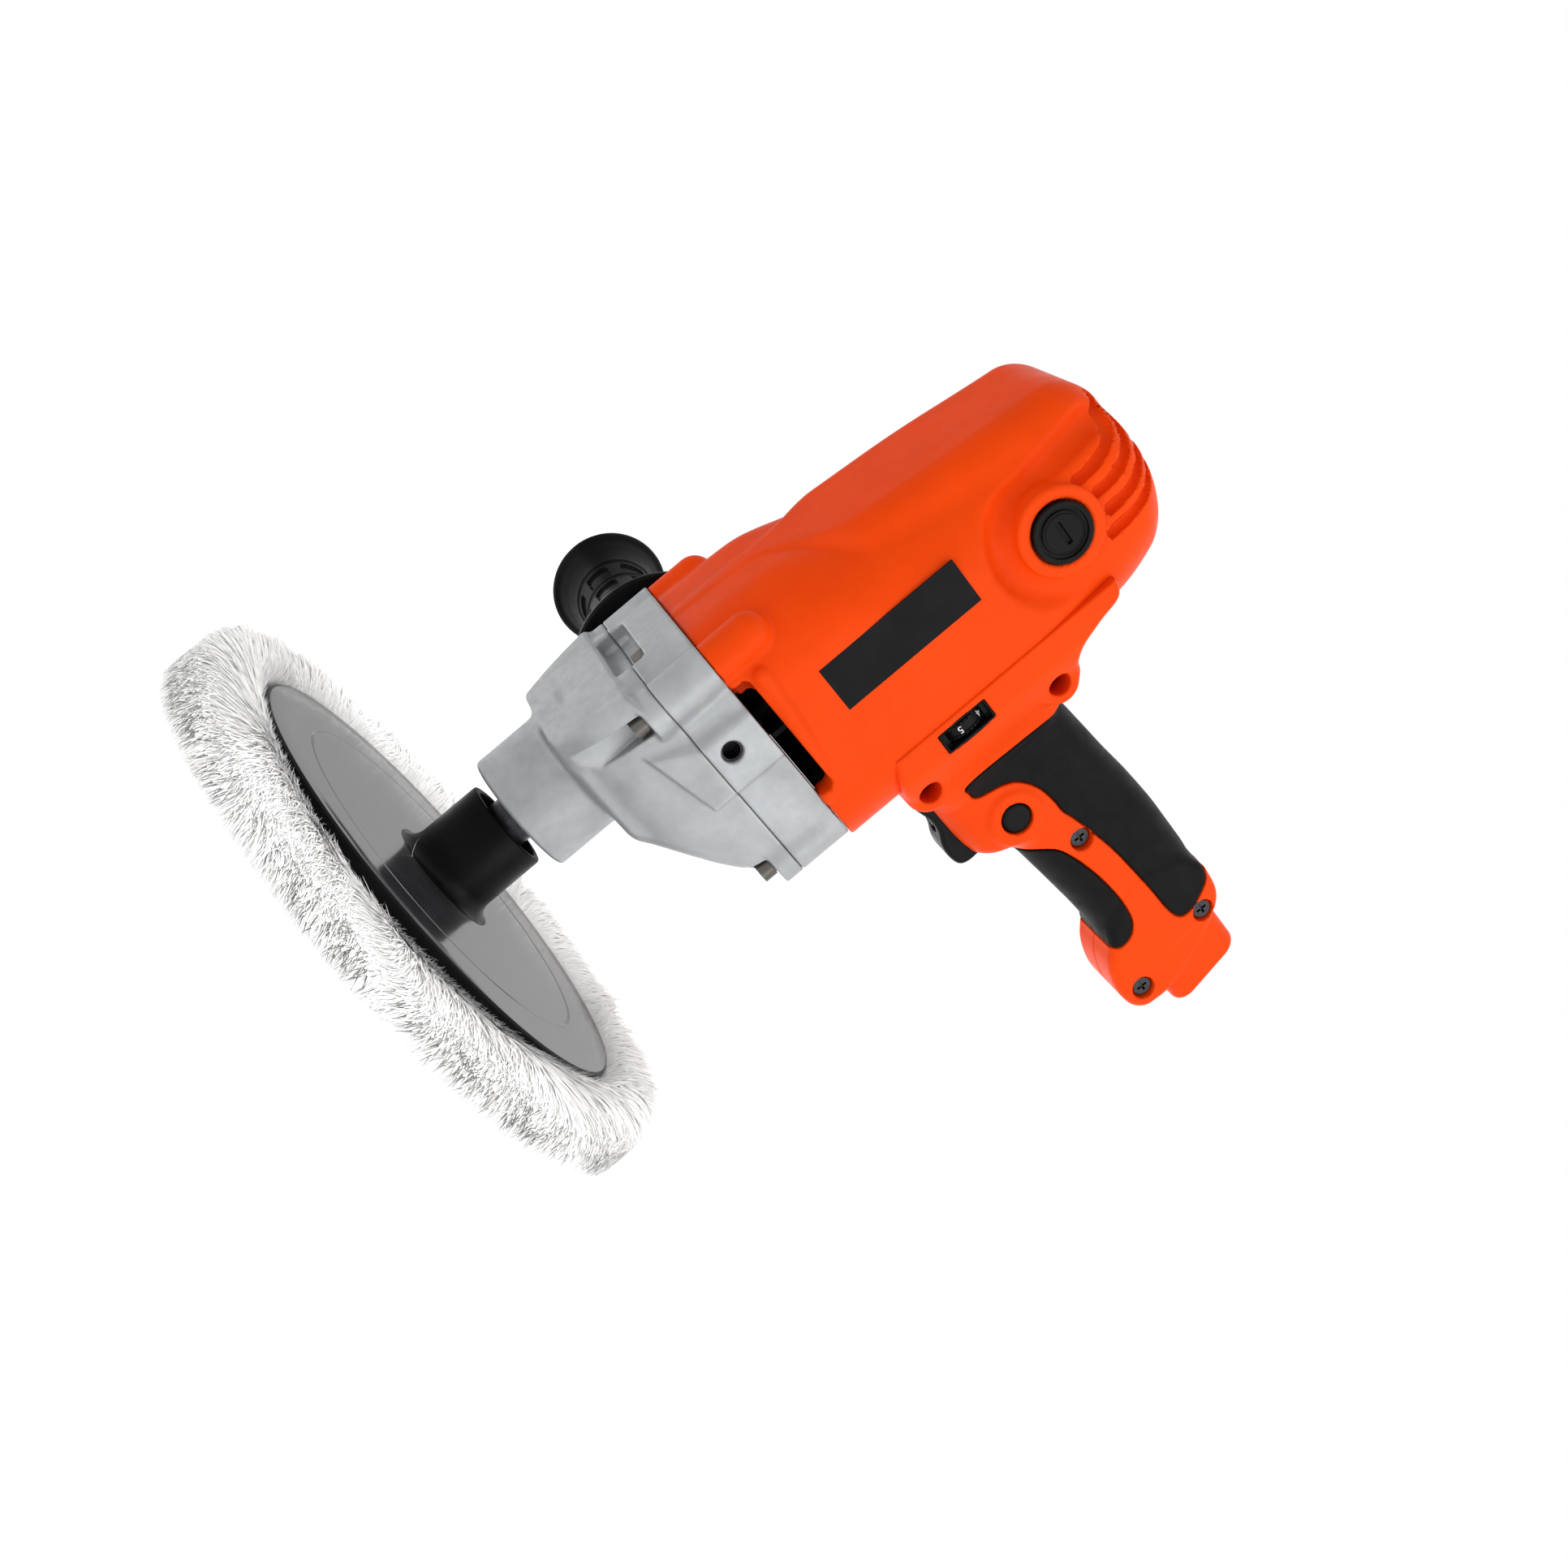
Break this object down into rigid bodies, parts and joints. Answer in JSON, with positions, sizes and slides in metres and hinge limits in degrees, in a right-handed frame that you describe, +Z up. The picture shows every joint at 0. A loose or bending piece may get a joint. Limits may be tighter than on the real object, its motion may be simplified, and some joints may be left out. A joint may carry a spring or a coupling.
{
  "type": "rotary polisher",
  "caption": "Electric rotary polisher with pistol handle, side handle, speed dial and lambswool pad, for car detailing.",
  "frame": {"origin": "centre of the wool pad's working face, on the surface the tool stands on", "axes": "+Z up the spindle from the pad to the motor, +X out along the pistol handle, +Y out along the side handle"},
  "size_m": [0.3615, 0.2958, 0.3085],
  "materials": {
    "wool": "long white lambswool pile",
    "foam": "open-cell yellow foam",
    "plate_plastic": "glossy black moulding",
    "steel": "turned bright steel",
    "gear_steel": "hardened cut steel, oiled",
    "seal_rubber": "smooth black rubber",
    "bronze": "sintered bronze",
    "cast_aluminium": "satin die casting with a fine grain",
    "laminations": "stacked silicon steel sheets",
    "copper": "varnished copper",
    "black_plastic": "satin black moulding",
    "housing_orange": "satin orange nylon",
    "label_black": "plain dark panel",
    "carbon": "pressed carbon",
    "soft_grip": "soft-touch black overmould",
    "board_green": "circuit board"
  },
  "bodies": {
    "tool": {"front_spindle_bearing": "steel", "rear_spindle_bearing": "steel", "spindle_seal": "seal_rubber", "bearing_circlip": "steel", "front_lay_bush": "bronze", "rear_lay_bush": "bronze", "gear_case_front": "cast_aluminium", "gear_case_rear": "cast_aluminium", "gear_case_screws": "steel", "front_armature_bearing": "steel", "stator_core": "laminations", "field_coils": "copper", "fan_baffle": "black_plastic", "rear_armature_bearing": "steel", "bearing_sleeve": "seal_rubber", "motor_housing": "housing_orange", "label_plate": "label_black", "brush_holder_left": "bronze", "brush_holder_right": "bronze", "carbon_brush_left": "carbon", "carbon_brush_right": "carbon", "brush_spring_left": "steel", "brush_spring_right": "steel", "brush_cap_left": "black_plastic", "brush_cap_right": "black_plastic", "rear_grip_left": "soft_grip", "rear_grip_right": "soft_grip", "front_grip_left": "soft_grip", "front_grip_right": "soft_grip", "handle_shell_left": "housing_orange", "handle_shell_right": "housing_orange", "handle_screws": "steel", "trigger_spring": "steel", "dial_pin": "steel", "switch_body": "black_plastic", "speed_board": "board_green", "cord_gland": "seal_rubber", "side_handle_stud": "steel", "side_handle_grip": "black_plastic"},
    "spindle": {"wool_pad": "wool", "foam_layer": "foam", "backing_plate": "plate_plastic", "hub_insert": "steel", "spindle": "steel", "output_gear": "gear_steel"},
    "lay_shaft": {"lay_shaft": "gear_steel", "lay_gear": "gear_steel"},
    "armature": {"armature_shaft": "gear_steel", "armature_core": "laminations", "armature_windings": "copper", "commutator": "copper", "cooling_fan": "black_plastic"},
    "trigger": {"trigger": "black_plastic"},
    "lock_button": {"lock_button": "black_plastic"},
    "speed_dial": {"speed_dial": "black_plastic"}
  },
  "joints": [
    {"name": "spindle_spin", "type": "hinge", "parent": "tool", "child": "spindle", "pos_m": [0, 0, 0.07], "axis": [0, 0, 1], "continuous": true},
    {"name": "lay_shaft_spin", "type": "hinge", "parent": "tool", "child": "lay_shaft", "pos_m": [0.01781, 0.02096, 0.11], "axis": [0, 0, 1], "continuous": true},
    {"name": "armature_spin", "type": "hinge", "parent": "tool", "child": "armature", "pos_m": [0.0295, 0, 0.2], "axis": [0, 0, 1], "continuous": true},
    {"name": "trigger_pull", "type": "slide", "parent": "tool", "child": "trigger", "axis": [0, 0, 1], "range_m": [0, 0.006], "stiffness_N_per_m": 900, "springref_m": -0.004, "deforming": ["trigger_spring"]},
    {"name": "lock_press", "type": "slide", "parent": "tool", "child": "lock_button", "axis": [0, 1, 0], "range_m": [0, 0.0025], "stiffness_N_per_m": 600, "springref_m": -0.002},
    {"name": "speed_dial_turn", "type": "hinge", "parent": "tool", "child": "speed_dial", "pos_m": [0.0645, -0.0345, 0.2], "axis": [1, 0, 0], "range_deg": [-150, 150]}
  ],
  "couplings": [
    {"joint": "lay_shaft_spin", "follows": "spindle_spin", "ratio": -3},
    {"joint": "armature_spin", "follows": "spindle_spin", "ratio": 11.4}
  ]
}
